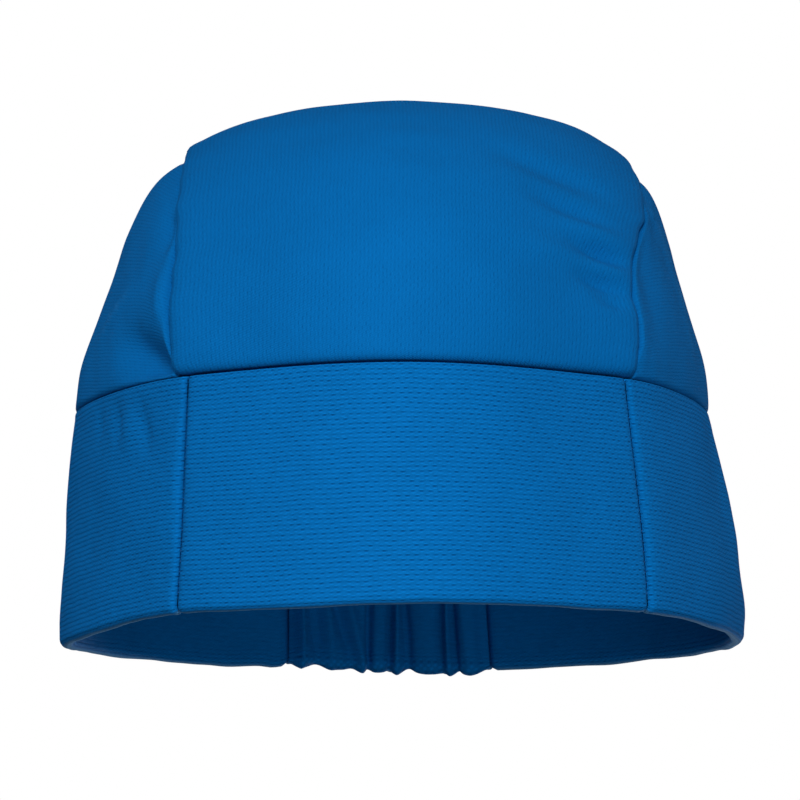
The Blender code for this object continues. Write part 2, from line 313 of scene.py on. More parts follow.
class Nodes:
    """Short calls for the nodes of one material."""

    def __init__(self, name):
        self.material = bpy.data.materials.new(name)
        self.material.use_nodes = True
        self.tree = self.material.node_tree
        self.shader = self.tree.nodes["Principled BSDF"]

    def link(self, value, socket):
        if isinstance(value, bpy.types.NodeSocket):
            self.tree.links.new(value, socket)
        else:
            socket.default_value = value

    def math(self, operation, *values, clamp=False):
        node = self.tree.nodes.new("ShaderNodeMath")
        node.operation = operation
        node.use_clamp = clamp
        for value, socket in zip(values, node.inputs):
            self.link(value, socket)
        return node.outputs[0]

    def add(self, *values):
        total = values[0]
        for value in values[1:]:
            total = self.math("ADD", total, value)
        return total

    def times(self, a, b):
        return self.math("MULTIPLY", a, b)

    def wave(self, place, wavelength):
        """From -1 to 1 and back over each wavelength."""
        return self.math("SINE", self.times(place, 2 * np.pi / wavelength))

    def ramp(self, value, low, high):
        """0 where value is at low and 1 where it is at high."""
        node = self.tree.nodes.new("ShaderNodeMapRange")
        node.interpolation_type = "SMOOTHSTEP"
        for i, item in enumerate((value, low, high, 0.0, 1.0)):
            self.link(item, node.inputs[i])
        return node.outputs[0]

    def mix(self, share, a, b):
        node = self.tree.nodes.new("ShaderNodeMix")
        node.data_type = "RGBA"
        self.link(share, node.inputs[0])
        self.link(a, node.inputs[6])
        self.link(b, node.inputs[7])
        return node.outputs[2]

    def weave_axes(self):
        """The cloth's own two directions, in millimetres."""
        uv = self.tree.nodes.new("ShaderNodeUVMap")
        uv.uv_map = "weave"
        split = self.tree.nodes.new("ShaderNodeSeparateXYZ")
        self.tree.links.new(uv.outputs[0], split.inputs[0])
        return split.outputs[0], split.outputs[1]

    def point(self, u, v):
        node = self.tree.nodes.new("ShaderNodeCombineXYZ")
        self.link(u, node.inputs[0])
        self.link(v, node.inputs[1])
        return node.outputs[0]

    def noise(self, point, scale, detail=2.0):
        node = self.tree.nodes.new("ShaderNodeTexNoise")
        self.link(point, node.inputs["Vector"])
        node.inputs["Scale"].default_value = scale
        node.inputs["Detail"].default_value = detail
        return node.outputs[0]

    def chance(self, point):
        """One even random number for each whole-numbered point."""
        node = self.tree.nodes.new("ShaderNodeTexWhiteNoise")
        self.link(point, node.inputs["Vector"])
        return node.outputs["Value"]

    def bump(self, height, distance):
        node = self.tree.nodes.new("ShaderNodeBump")
        node.inputs["Distance"].default_value = distance
        self.link(height, node.inputs["Height"])
        self.link(node.outputs[0], self.shader.inputs["Normal"])

    def finish(self, colour, roughness, sheen, sheen_tint, specular):
        inputs = self.shader.inputs
        self.link(colour, inputs["Base Color"])
        self.link(roughness, inputs["Roughness"])
        inputs["Sheen Weight"].default_value = sheen
        inputs["Sheen Roughness"].default_value = 0.45
        inputs["Sheen Tint"].default_value = (*sheen_tint, 1.0)
        inputs["Specular IOR Level"].default_value = specular
        return self.material


def tinted(colour, factor):
    return tuple(min(part * factor, 1.0) for part in colour) + (1.0,)


# The bird-eye knit: rows of short slits, each row half a pitch along from the last.
SLIT_PITCH = 2.1
SLIT_HALF_LENGTH = 0.66
SLIT_HALF_WIDTH = 0.21
SLIT_LEAN = -0.05
SLIT_SHIFT = 0.15
LOOP_PITCH = 0.42
# How far down the band's cloth its fold is, and where the wall next to the head begins.
HEM_FOLD = 57.7
INNER_WALL_FROM = 58.0
INNER_WALL_WHOLLY = 64.0
# Painted highlight colour for the fold at the hem.
FOLD_HIGHLIGHT_COLOUR = (0.09, 0.26, 0.47, 1)
# Painted highlight colour for the crests of creases.
CREASE_HIGHLIGHT_COLOUR = (0.055, 0.25, 0.52, 1)


def knit_rows(n, u, v, row_pitch):
    """Where a point is along and across the nearest slit, and that slit's own random number."""
    row_place = n.math("DIVIDE", v, row_pitch)
    row = n.math("FLOOR", row_place)
    half_step = n.times(n.math("FLOORED_MODULO", row, 2.0), 0.5)
    place = n.add(n.math("DIVIDE", u, SLIT_PITCH), half_step)
    lot = n.chance(n.point(row, n.math("FLOOR", place)))
    along = n.times(n.math("SUBTRACT", n.math("FRACT", place), 0.5), SLIT_PITCH)
    along = n.add(along, n.times(n.math("SUBTRACT", lot, 0.5), 0.5))
    across = n.times(n.math("SUBTRACT", n.math("FRACT", row_place), 0.5), row_pitch)
    return along, across, lot


def oval(n, length, width, inner, outer):
    """1 in the middle of an oval, fading to 0 between two sizes of it."""
    away = n.math("SQRT", n.add(n.times(length, length), n.times(width, width)))
    return n.math("SUBTRACT", 1.0, n.ramp(away, inner, outer))


def knit_slits(n, along, across, lot):
    """The slits, and the loops above and below them that catch the light."""
    length = n.math("DIVIDE", n.add(along, SLIT_SHIFT), SLIT_HALF_LENGTH)
    width = n.math("DIVIDE", n.add(across, n.times(along, SLIT_LEAN)), SLIT_HALF_WIDTH)
    slit = oval(n, length, width, 0.2, 1.3)
    # A slit is deepest at one end, and no two are alike.
    slit = n.times(slit, n.add(0.5, n.times(n.ramp(along, 1.0, -0.8), 0.5)))
    slit = n.times(slit, n.add(0.45, n.times(lot, 0.55)))
    beside = n.math("SUBTRACT", n.math("ABSOLUTE", width), 2.0)
    return slit, oval(n, length, beside, 0.2, 1.2)


def knit_material(name, colour, row_pitch, slits, ribs, folded_at=None):
    """slits and ribs say how strongly each shows, and folded_at where the cloth is folded in two."""
    n = Nodes(name)
    u, v = n.weave_axes()
    cloth_point = n.point(u, v)
    # The rows wander a little, as knitting does.
    wandering = n.add(v, n.times(n.math("SUBTRACT", n.noise(cloth_point, 0.12), 0.5), 0.7))
    along, across, lot = knit_rows(n, u, wandering, row_pitch)
    slit, rim = knit_slits(n, along, across, lot)
    # The wall next to the head shows the smooth side of the knit.
    outside = n.add(0.2, n.times(n.ramp(v, -INNER_WALL_WHOLLY, -INNER_WALL_FROM), 0.8))
    slit, rim = n.times(slit, outside), n.times(rim, outside)
    # Between two rows of slits the cloth stands up in a rib, made of fine slanting loops.
    rib = n.times(n.math("ABSOLUTE", n.math("DIVIDE", across, row_pitch / 2)), outside)
    slant = n.wave(n.add(u, n.times(across, 0.55)), LOOP_PITCH)
    streaks = n.noise(n.point(n.times(u, 0.35), n.times(wandering, 1.6)), 0.9, 3.0)
    fibres = n.noise(cloth_point, 2.4, 4.0)
    height = n.add(n.times(rib, 0.45 * ribs), n.times(slant, 0.10), n.times(fibres, 0.40))
    n.bump(n.math("SUBTRACT", height, n.times(slit, 1.1 * slits)), 0.24 * MM)
    # Colour: painted shade down in the slits, painted highlights on the ribs and on the loops beside the
    # slits, and uneven dye over the whole piece.
    dye = n.times(n.math("SUBTRACT", n.noise(cloth_point, 0.05, 3.0), 0.5), 0.4)
    shade = n.add(n.times(rib, 0.26 * ribs), n.times(slant, 0.10), n.times(fibres, 0.35), dye)
    shade = n.add(shade, n.times(n.math("SUBTRACT", streaks, 0.5), 1.5 * ribs), 0.12)
    body = n.mix(n.math("MULTIPLY", shade, 0.9, clamp=True), tinted(colour, 0.80), tinted(colour, 1.22))
    # Painted highlight on the loops above and below each slit.
    body = n.mix(n.math("MULTIPLY", rim, 0.45 * slits, clamp=True), body, tinted(colour, 1.75))
    # Painted shade: the slits are painted darker, where shade falls into them.
    slit_shade_colour = (0.0005, 0.42 * colour[1], 0.52 * colour[2], 1)
    final = n.mix(n.math("MULTIPLY", slit, 0.85 * slits, clamp=True), body, slit_shade_colour)
    if folded_at is not None:
        # Painted highlight: the fold at the hem is painted paler, standing in for light caught there from
        # below.
        from_fold = n.math("ABSOLUTE", n.add(v, folded_at))
        final = n.mix(n.times(n.ramp(from_fold, 1.6, 0.3), 0.7), final, FOLD_HIGHLIGHT_COLOUR)
    # Painted highlight: the creases' crests are painted paler, standing in for light caught along them.
    crease_highlight_node = n.tree.nodes.new("ShaderNodeAttribute")
    crease_highlight_node.attribute_name = "crease_highlight"
    final = n.mix(n.times(crease_highlight_node.outputs["Fac"], 0.3), final, CREASE_HIGHLIGHT_COLOUR)
    return n.finish(final, n.add(0.78, n.times(fibres, 0.2)), 0.015, (0.20, 0.55, 1.0), 0.03)


def thread_material(name, colour):
    n = Nodes(name)
    u, v = n.weave_axes()
    twist = n.wave(n.add(u, n.times(v, 0.4)), 0.6)
    fuzz = n.noise(n.point(u, v), 3.0, 3.0)
    n.bump(n.add(n.times(twist, 0.5), fuzz), 0.06 * MM)
    share = n.math("ADD", n.times(twist, 0.25), fuzz, clamp=True)
    colour = n.mix(share, tinted(colour, 0.75), tinted(colour, 1.35))
    return n.finish(colour, n.add(0.5, n.times(fuzz, 0.2)), 0.15, (0.6, 0.8, 1.0), 0.3)


def satin_material(name, colour):
    n = Nodes(name)
    u, v = n.weave_axes()
    threads = n.times(n.wave(u, 0.22), n.wave(v, 0.35))
    uneven = n.noise(n.point(u, v), 0.35, 3.0)
    n.bump(n.add(threads, uneven), 0.03 * MM)
    share = n.math("ADD", n.times(threads, 0.15), uneven, clamp=True)
    colour = n.mix(share, tinted(colour, 0.86), tinted(colour, 1.05))
    return n.finish(colour, n.add(0.32, n.times(uneven, 0.2)), 0.1, (1.0, 1.0, 1.0), 0.5)


def terry_material(name, colour):
    n = Nodes(name)
    u, v = n.weave_axes()
    tuft = n.noise(n.point(u, v), 1.1, 4.0)
    n.bump(tuft, 0.35 * MM)
    colour = n.mix(n.ramp(tuft, 0.3, 0.7), tinted(colour, 0.72), tinted(colour, 1.1))
    return n.finish(colour, n.add(0.85, n.times(tuft, 0.15)), 0.4, (1.0, 1.0, 1.0), 0.1)


def elastic_material(name, colour):
    n = Nodes(name)
    u, v = n.weave_axes()
    pick = n.wave(u, 0.7)
    fuzz = n.noise(n.point(u, v), 1.6, 3.0)
    n.bump(n.add(n.times(pick, 0.3), n.times(fuzz, 0.4)), 0.2 * MM)
    colour = n.mix(fuzz, tinted(colour, 0.75), tinted(colour, 1.1))
    return n.finish(colour, n.add(0.6, n.times(fuzz, 0.2)), 0.15, (1.0, 1.0, 1.0), 0.3)


BLUE = (0.0010, 0.136, 0.430)
THREAD_BLUE = (0.003, 0.120, 0.370)
band_knit = knit_material(
    "band_bird_eye_knit", BLUE, row_pitch=1.15, slits=0.9, ribs=0.7, folded_at=HEM_FOLD)
crown_knit = knit_material("crown_bird_eye_knit", BLUE, row_pitch=0.9, slits=0.32, ribs=0.22)
thread = thread_material("overlock_looper_thread", THREAD_BLUE)
satin = satin_material("label_satin_ribbon", (0.80, 0.80, 0.78))
terry = terry_material("sweat_pad_terry", (0.55, 0.62, 0.68))
elastic = elastic_material("ribbed_elastic", (0.78, 0.78, 0.76))


# Meshes.


def mesh_object(name, points, faces, uv, material):
    """An object from points in millimetres, each with its place on the flat cloth."""
    mesh = bpy.data.meshes.new(name)
    mesh.from_pydata((points * MM).tolist(), [], faces)
    layer = mesh.uv_layers.new(name="weave")
    corner_points = np.empty(len(mesh.loops), np.int32)
    mesh.loops.foreach_get("vertex_index", corner_points)
    layer.data.foreach_set("uv", uv[corner_points].astype(np.float32).ravel())
    mesh.materials.append(material)
    mesh.shade_smooth()
    mesh.update()
    obj = bpy.data.objects.new(name, mesh)
    bpy.context.collection.objects.link(obj)
    return obj


def grid_faces(rows, columns, closed=False):
    """Quads over a grid of points; closed joins the last column to the first."""
    last = columns if closed else columns - 1
    i, j = np.meshgrid(np.arange(rows - 1), np.arange(last), indexing="ij")
    i, j = i.ravel(), j.ravel()
    k = (j + 1) % columns
    down = (i + 1) * columns
    return np.stack([i * columns + j, down + j, down + k, i * columns + k], axis=1)


def cloth_piece(name, points, uv, material, thickness=CLOTH):
    """A sheet of cloth whose outer face goes through a grid of points.

    Rows go down the outer face while columns go round towards the wearer's left.
    """
    rows, columns = points.shape[:2]
    faces = grid_faces(rows, columns).tolist()
    obj = mesh_object(name, settle(points).reshape(-1, 3), faces, uv.reshape(-1, 2), material)
    solid = obj.modifiers.new("cloth_thickness", "SOLIDIFY")
    solid.thickness = thickness * MM
    solid.offset = -1
    return obj


def slab(name, middle, half_thickness, uv, material, closed=False):
    """A closed body round a grid of points, thicker or thinner from point to point."""
    rows, columns = middle.shape[:2]
    middle = settle(middle)
    out = grid_normals(middle)
    if closed:
        out[:, [0, -1]] = out[:, [1, -2]].mean(axis=1, keepdims=True)
        out /= np.linalg.norm(out, axis=-1, keepdims=True)
    offset = half_thickness[..., None] * out
    points = np.concatenate([(middle + offset).reshape(-1, 3), (middle - offset).reshape(-1, 3)])
    back = rows * columns
    front_faces = grid_faces(rows, columns, closed)
    top = np.arange(columns)
    bottom = top + (rows - 1) * columns
    rims = [top[::-1], bottom]
    if not closed:
        side = np.arange(rows) * columns
        rims += [side, (side + columns - 1)[::-1]]
    faces = [front_faces, front_faces[:, ::-1] + back]
    for rim in rims:
        a, b = (rim, np.roll(rim, -1)) if closed else (rim[:-1], rim[1:])
        faces.append(np.stack([a, a + back, b + back, b], axis=1))
    faces = np.concatenate(faces).tolist()
    return mesh_object(name, points, faces, np.tile(uv.reshape(-1, 2), (2, 1)), material)


THREAD_SIDES = 5
# No thread runs along this direction, so each one's own sides can be found from it.
SLANTING = [0.31, 0.17, 0.94]


def tubes(name, paths, radius, material):
    """Round threads along paths, which all have the same number of points, joined as one mesh."""
    sides = THREAD_SIDES
    paths = settle(np.asarray(paths, float))
    count, steps = paths.shape[:2]
    course = np.gradient(paths, axis=1)
    course /= np.linalg.norm(course, axis=-1, keepdims=True)
    aside = np.cross(course, SLANTING)
    aside /= np.linalg.norm(aside, axis=-1, keepdims=True)
    over = np.cross(aside, course)
    turn = np.linspace(0, 2 * np.pi, sides, endpoint=False)
    ring = np.cos(turn)[:, None] * aside[:, :, None, :] + np.sin(turn)[:, None] * over[:, :, None, :]
    points = paths[:, :, None, :] + radius * ring
    run = run_lengths(paths)
    uv = np.stack(np.broadcast_arrays(run[:, :, None], turn * radius), axis=-1)
    one = grid_faces(steps, sides, closed=True)
    faces = (one[None] + (np.arange(count) * steps * sides)[:, None, None]).reshape(-1, 4).tolist()
    ends = []
    for i in range(count):
        first = i * steps * sides
        last = first + (steps - 1) * sides
        ends.append([first + j for j in range(sides)])
        ends.append([last + j for j in reversed(range(sides))])
    return mesh_object(name, points.reshape(-1, 3), faces + ends, uv.reshape(-1, 2), material)


# The band: four panels cut at double height and folded at the hem.

# The upright seams' angles at the hem and at the band's top.
UPRIGHT_SEAMS = {
    "front_left": (FRONT_SEAM - 0.008, FRONT_SEAM + 0.032),
    "front_right": (-FRONT_SEAM - 0.047, -FRONT_SEAM - 0.019),
    "rear_left": (REAR_SEAM, REAR_SEAM),
    "rear_right": (-REAR_SEAM, -REAR_SEAM),
    "rear_right_from_left": (2 * np.pi - REAR_SEAM, 2 * np.pi - REAR_SEAM),
}


def fold_path():
    """(inset, height) down the band's outer face, round the hem and up its inner face."""
    near_top = BAND_HEIGHT - np.array([0, 0.12, 0.3, 0.6, 1.1, 1.8, 2.8])
    outer = np.concatenate([near_top, np.linspace(BAND_HEIGHT - 4.4, FOLD_RADIUS + 0.5, 28)])
    turn = np.linspace(0, np.pi, 13)
    inset = np.concatenate([0 * outer, FOLD_RADIUS * (1 - np.cos(turn)), BAND_THICKNESS + 0 * outer])
    height = np.concatenate([outer, FOLD_RADIUS * (1 - np.sin(turn)), outer[::-1]])
    return inset, height


def path_sides(inset, height):
    """The direction away from the cavity at each point of the fold path, as (inset, height)."""
    along_inset, along_height = np.gradient(inset), np.gradient(height)
    size = np.hypot(along_inset, along_height)
    return along_height / size, -along_inset / size


def seam_angle(name, height):
    """Where an upright seam is at this height. The front seams lean, as the cap is worn askew."""
    at_hem, at_top = UPRIGHT_SEAMS[name]
    return between(at_hem, at_top, height / BAND_HEIGHT)


def band_panel(name, seams, columns, relief, edge):
    """A folded panel between two upright seams.

    relief(run, height, inner) says how far the cloth stands proud, on the outer wall where inner is 0
    and on the wall next to the head where it is 1. edge is how far the panel's sewn edges stand proud.
    """
    inset, height = fold_path()
    side_inset, side_height = path_sides(inset, height)
    cloth_run = np.concatenate([[0], np.cumsum(np.hypot(np.diff(inset), np.diff(height)))])
    table = (inset, height, side_inset, side_height, cloth_run)
    inset, height, side_inset, side_height, cloth_run = (a[:, None] for a in table)
    start, end = (seam_angle(seam, height) for seam in seams)
    angle = between(start, end, crowded(columns, 0.35)[None, :])
    run = run_lengths(band_point(angle[:1], BAND_HEIGHT / 2 + 0 * angle[:1], 0))
    length = run[0, -1]
    to_seam = np.minimum(run, length - run)
    to_top = BAND_HEIGHT - height
    inner = smooth(0, BAND_THICKNESS, inset)
    proud = relief(run, height, inner) * smooth(0, 3.0, to_seam) * smooth(0, 3.0, to_top)
    proud = proud + edge * np.exp(-((to_seam / 1.8) ** 2))
    proud = proud - seam_roll(to_top, 0.55) - seam_roll(to_seam, 0.75)
    lowered = bells(angle, HEM_DIPS) * (1 - height / BAND_HEIGHT)
    curled = bells(angle, HEM_CURLS) * np.exp(-((np.maximum(height, 0) / CURL_HEIGHT) ** 2))
    points = band_point(angle, height + proud * side_height, inset + curled + proud * side_inset)
    points[..., 2] -= lowered
    uv = np.stack([run + 0 * height, -cloth_run + 0 * run], axis=-1)
    return cloth_piece(name, points, uv, band_knit), length, cloth_run[-1, 0]


def front_relief(run, height, inner):
    bulge = np.sin(np.pi * height / BAND_HEIGHT)
    return 0.25 * bulge + 0.10 * waves(run, height, 15, 21) + 0 * inner


# Folds of the side panels' outer walls: two ends (run, height), width, height. On the wearer's left there
# is a soft ridge under the temple, on the right there are dimples below the seam, in front of the ear.
LEFT_RIDGE = [((62, 54), (58, 18), 5.0, 1.1)]
RIGHT_DIMPLES = [
    ((146, 53), (148, 46), 1.8, -0.8), ((157, 53), (160, 44), 2.0, -1.2), ((170, 52), (175, 40), 2.2, -1.1),
    ((164, 52), (166, 42), 2.4, 0.7),
]


def side_band_relief(wavelength, seed, strokes):
    def relief(run, height, inner):
        bulge = np.sin(np.pi * height / BAND_HEIGHT)
        ripples = 0.25 * waves(run, height, wavelength, seed) + 0.08 * waves(run, height, 12, seed + 1)
        return 0.5 * bulge + ripples + folds(run, height, strokes) * (1 - inner)

    return relief


# The casing's gathers: place along it at the hem and at a height of GATHER_SPAN, half-width, and share of
# the relief, which is below 0 for a groove.
GATHER_SPAN = 15
GATHERS = [
    (1.6, 1.4, 1.3, -0.5), (5.0, 5.6, 1.6, 0.3), (8.6, 8.9, 1.0, -0.7), (10.7, 10.3, 1.2, 0.45),
    (12.9, 12.7, 1.2, -0.6), (17.0, 17.4, 2.4, 0.2), (22.4, 22.8, 1.5, -0.8), (25.9, 24.6, 1.3, 0.55),
    (27.9, 26.9, 1.1, -0.7), (31.0, 30.6, 2.0, 0.2), (34.0, 33.6, 0.9, -0.9), (35.4, 39.2, 1.6, 0.45),
    (38.3, 42.6, 1.9, -0.6), (44.6, 45.6, 1.5, 0.25), (48.4, 49.4, 2.4, -0.75), (53.4, 53.8, 1.3, 0.3),
]
# Where the gathers hang below the hem's line, or stand above it: place, half-width and drop.
HEM_LUMPS = [(12.0, 2.8, 1.2), (27.2, 3.2, 1.2), (34.6, 1.4, 0.5), (18.5, 1.5, 0.3), (47.5, 3.0, -0.4)]

# How far the casing's walls stand proud: down in a groove, which touches the elastic, and between grooves.
INNER_GROOVE = 1.7
INNER_PUFF = 3.2
OUTER_GROOVE = -1.7
OUTER_PUFF = 2.0
BETWEEN_GATHERS = 0.62


def gather_relief(run, height, inner):
    """Grooves and ridges that lean and wander as they go up."""
    up = height / GATHER_SPAN
    held = between(0.75, 1.0, smooth(0.0, 0.5, up)) * between(1.0, 0.75, smooth(2.8, 3.7, up))
    total = 0 * run + 0 * height
    walls = ((inner, 0.0, INNER_GROOVE, INNER_PUFF), (1 - inner, 1.0, OUTER_GROOVE, OUTER_PUFF))
    for wall, shifted, low, puff in walls:
        share = BETWEEN_GATHERS + 0 * total
        for i, (at_hem, higher, width, height_share) in enumerate(GATHERS):
            place = between(at_hem, higher, np.minimum(up, 1.4)) + shifted * (1.8 + 0.8 * np.sin(5 * i))
            place = place + 0.7 * np.sin(1.3 * up + i) * smooth(0.5, 2.0, up)
            share = share + height_share * held * np.exp(-(((run - place) / width) ** 2))
        total = total + wall * (low + puff * np.clip(share, 0, 1.25))
    hanging = sum(drop * np.exp(-(((run - place) / width) ** 2)) for place, width, drop in HEM_LUMPS)
    at_hem = 4 * inner * (1 - inner)
    total = between(total, hanging + 0 * total, at_hem)
    return total + 0.12 * waves(run, height, 7, 27)


# Seams at the sides, columns, relief, and how far the sewn edges stand proud.
BAND_PANELS = {
    "brow_band_front": (("front_right", "front_left"), 72, front_relief, -0.25),
    "side_band_left": (("front_left", "rear_left"), 100, side_band_relief(34, 22, LEFT_RIDGE), 0.2),
    "side_band_right": (("rear_right", "front_right"), 100, side_band_relief(30, 25, RIGHT_DIMPLES), 0.2),
    "rear_elastic_casing": (("rear_left", "rear_right_from_left"), 150, gather_relief, 0.0),
}


# The crown.

# How far the centre panel's edges lie outside their place in the CAD model, at heights above the band.
EDGE_HEIGHTS = [0, 3, 9, 16, 21, 26, 35, 43, 50, 60, 77]
LEFT_EDGE_SHIFTS = [0, 0.5, 1.7, 1.6, 0.2, 0.0, 1.2, 3.4, 5.2, 4.4, 0.5]
RIGHT_EDGE_SHIFTS = [0, 0.9, 1.8, 2.4, 2.4, 2.1, 1.4, 1.5, 1.6, 1.0, 0.3]


def edge_shift(side, line):
    """The shift of a crown seam towards the ear, at points (x, y, rise). It is none behind the top."""
    shifts = LEFT_EDGE_SHIFTS if side > 0 else RIGHT_EDGE_SHIFTS
    return smooth(8, -25, line[..., 1]) * np.interp(line[..., 2], EDGE_HEIGHTS, shifts)


def slid(line, shift):
    """Points (x, y, rise) moved sideways along the crown's surface, until x has changed by shift."""
    out = crown_out(line[..., 0], line[..., 1], line[..., 2])
    aside = np.array([1.0, 0, 0]) - out[..., :1] * out
    aside = aside / np.maximum(aside[..., :1], 0.3)
    return line + shift[..., None] * aside


# Wrinkles of the centre panel, as seen from the front: two ends (x, z), width and height.
STRIP_WRINKLES = [
    ((20, 113), (48, 104), 2.6, -1.8),
    ((28, 102), (48, 95), 2.3, -1.9),
    ((36, 95), (54, 90), 2.4, 1.3),
    ((39, 89), (54, 85), 1.7, -2.0),
    ((42, 84), (53, 82), 1.5, 0.8),
    ((40, 81), (54, 77), 1.7, -1.9),
    ((45, 76), (53, 74), 1.4, -1.3),
    ((27, 88), (44, 84), 2.8, 1.0),
]


def crown_strip():
    shares = crowded(150, 0.45)
    x = STRIP_HALF * (2 * crowded(72, 0.45) - 1)
    line, length = crown_lines(x, shares)
    left, right = edge_shift(1, line), edge_shift(-1, line)
    share = np.abs(line[..., 0] / STRIP_HALF) ** 3
    line = slid(line, np.where(line[..., 0] > 0, left, -right) * share)
    x = x[:, None]
    run = shares[None, :] * length
    to_seam = np.minimum(run, length - run)
    to_edge = STRIP_HALF - np.abs(x)
    z = line[..., 2] + BAND_HEIGHT
    ahead = smooth(5, -15, line[..., 1])
    # The cloth stands a little proud along its edges and is puckered by the seams that hold them.
    lip = 0.5 * np.exp(-((to_edge / 5) ** 2))
    pucker = 0.22 * waves(run, 0 * x, 9, 31) * np.exp(-to_edge / 5)
    ripples = 0.12 * waves(run, x, 16, 32) + 0.25 * waves(run, x, 60, 33)
    proud = (ripples + ahead * folds(line[..., 0], z, STRIP_WRINKLES)) * smooth(0, 4, to_seam) + lip + pucker
    depth = seam_roll(to_seam, 2.4) + seam_roll(to_edge, 2.5)
    points = crown_point(line[..., 0], line[..., 1], line[..., 2], proud - depth)
    # The seam's pull gives the edges a slight wave.
    points[..., 0] += np.sign(x) * 0.3 * waves(run, 0 * x, 11, 34) * np.exp(-to_edge / 6)
    uv = np.stack([run, x + 0 * run], axis=-1)
    piece = cloth_piece("visual_crown_centre_panel", points, uv, crown_knit)
    return piece, 2 * STRIP_HALF, float(length.mean())


# What differs between the side panels, for the wearer's left (1) and right (-1).
# Folds, as seen from the side: two ends (y, z), width and height.
SIDE_FOLDS = {
    1: [((-22, 106), (-21, 92), 1.5, 0.9), ((-21, 94), (-22, 76), 1.5, 1.0),
        ((-22, 78), (-26, 66), 1.6, 0.8), ((-42, 98), (-50, 66), 5.0, -1.0)],
    -1: [((-35, 70), (-62, 56), 4.8, -4.6), ((-44, 85), (-53, 71), 6.5, 1.3),
         ((-30, 82), (-17, 72), 1.7, 1.3), ((-31, 103), (-41, 89), 3.6, -2.0)],
}
# Where a painted highlight runs along the folds' crests: two ends (y, z), half-width, strength.
CREASE_HIGHLIGHTS = {
    1: [((-22, 106), (-21, 92), 0.8, 0.5), ((-21, 94), (-22, 76), 0.9, 0.8),
        ((-22, 78), (-26, 66), 1.2, 0.4)],
    -1: [((-30, 82), (-17, 72), 0.8, 0.5)],
}
# How deep the panel lies beside the centre panel's edge near the top, and where that begins and ends.
RECESSES = {1: (2.6, 42, 60), -1: (1.7, 25, 50)}
# How deep the centre panel's edge holds it down, and over what width.
TUCKS = {1: (1.9, 0.9), -1: (2.3, 1.6)}

# How far under the centre panel's edge a side panel begins.
CAUGHT = 0.8
# The knit's rows run down towards the brow.
GRAIN_TILT = np.radians(6)


def recess(side, rise):
    depth, lowest, highest = RECESSES[side]
    return depth * smooth(lowest, highest, rise)


def side_plan(side):
    """A side panel's points (x, y, rise), their angles, and how far each is from the centre panel's edge."""
    top_edge = STRIP_HALF - CAUGHT
    reach = [float(crown_reach(np.array([top_edge]), way)[0]) for way in (-1, 1)]
    front, back = (outline_angle(top_edge, y, TOP_DEPTH) for y in reach)
    shares = between(0.004, 0.996, (1 - np.cos(np.pi * np.linspace(0, 1, 96))) / 2)
    upper = crown_lines([top_edge], shares)[0][0]
    upper_angle = outline_angle(upper[:, 0], upper[:, 1], crown_sizes(upper[:, 2])[1])
    foot_angle = front + (back - front) * shares
    step = crowded(56, 0.45)[:, None]
    angle = between(upper_angle, foot_angle, step)
    rise = upper[:, 2] * (1 - step)
    plan = np.stack([*egg_outline(angle, *crown_sizes(rise)), rise], axis=-1)
    to_strip = run_lengths(plan.transpose(1, 0, 2)).T
    return slid(plan, edge_shift(side, plan) * np.exp(-((to_strip / 12) ** 2))), angle, to_strip


def side_relief(side, plan, along, to_strip, to_band):
    """How far a side panel stands proud. It is caught under the centre panel's edge."""
    y, rise = plan[..., 1], plan[..., 2]
    ripples = 0.25 * waves(along, to_strip, 30, 41) + 0.10 * waves(along, to_strip, 12, 42)
    pucker = 0.2 * waves(along, 0 * to_strip, 8, 43) * np.exp(-to_strip / 5)
    free = between(0.1, 1.0, smooth(0, 6.5, to_strip))
    folded = free * smooth(5, -15, y) * folds(y, rise + BAND_HEIGHT, SIDE_FOLDS[side])
    flattened = recess(side, rise) * np.exp(-((to_strip / 8) ** 2))
    proud = (ripples + pucker + folded - flattened) * smooth(0, 3, to_band) * smooth(-0.5, 2.5, to_strip)
    tuck, tuck_width = TUCKS[side]
    return proud - tuck * np.exp(-((to_strip / tuck_width) ** 2)) - seam_roll(to_band, 1.8)


def crown_side(name, side):
    """The half-moon panel over an ear, between the centre panel's edge and the band."""
    plan, angle, to_strip = side_plan(side)
    x, y, rise = np.moveaxis(plan, -1, 0)
    to_band = to_strip[-1:, :] - to_strip
    along = run_lengths(plan)[-1][None, :]
    points = crown_point(x, y, rise, side_relief(side, plan, along, to_strip, to_band))
    points[..., 0] *= side
    level_run = (angle - np.pi / 2) * crown_sizes(rise)[1]
    cos, sin = np.cos(GRAIN_TILT), np.sin(GRAIN_TILT)
    uv = np.stack([level_run * cos + to_band * sin, to_band * cos - level_run * sin], axis=-1)
    # Painted highlight along the creases' crests, kept in a point attribute for the knit material.
    crease_highlight_share = np.clip(smooth(5, -5, y) * folds(y, rise + BAND_HEIGHT, CREASE_HIGHLIGHTS[side]), 0, 1)
    if side < 0:
        points, uv, crease_highlight_share = points[:, ::-1], uv[:, ::-1], crease_highlight_share[:, ::-1]
    piece = cloth_piece(name, points, uv, crown_knit)
    crease_highlight = piece.data.attributes.new("crease_highlight", "FLOAT", "POINT")
    crease_highlight.data.foreach_set("value", crease_highlight_share.astype(np.float32).ravel())
    return piece, float(along[0, -1]), float(to_strip[-1].max())


def crown_panels():
    return {
        "crown_centre_panel": crown_strip(),
        "crown_side_panel_left": crown_side("visual_crown_side_panel_left", 1),
        "crown_side_panel_right": crown_side("visual_crown_side_panel_right", -1),
    }


# The overlocked seams: two trimmed cloth edges, held by needle and looper threads.

STITCH_PITCH = 2.4
THREAD_RADIUS = 0.17
ALLOWANCE_WIDTH = 5.0
ALLOWANCE_THICKNESS = 1.4
# How deep inside the crown an allowance hangs, and how much deeper near the band.
CROWN_SEAM_DEPTH = 3.7
CROWN_SEAM_DIP = 1.3

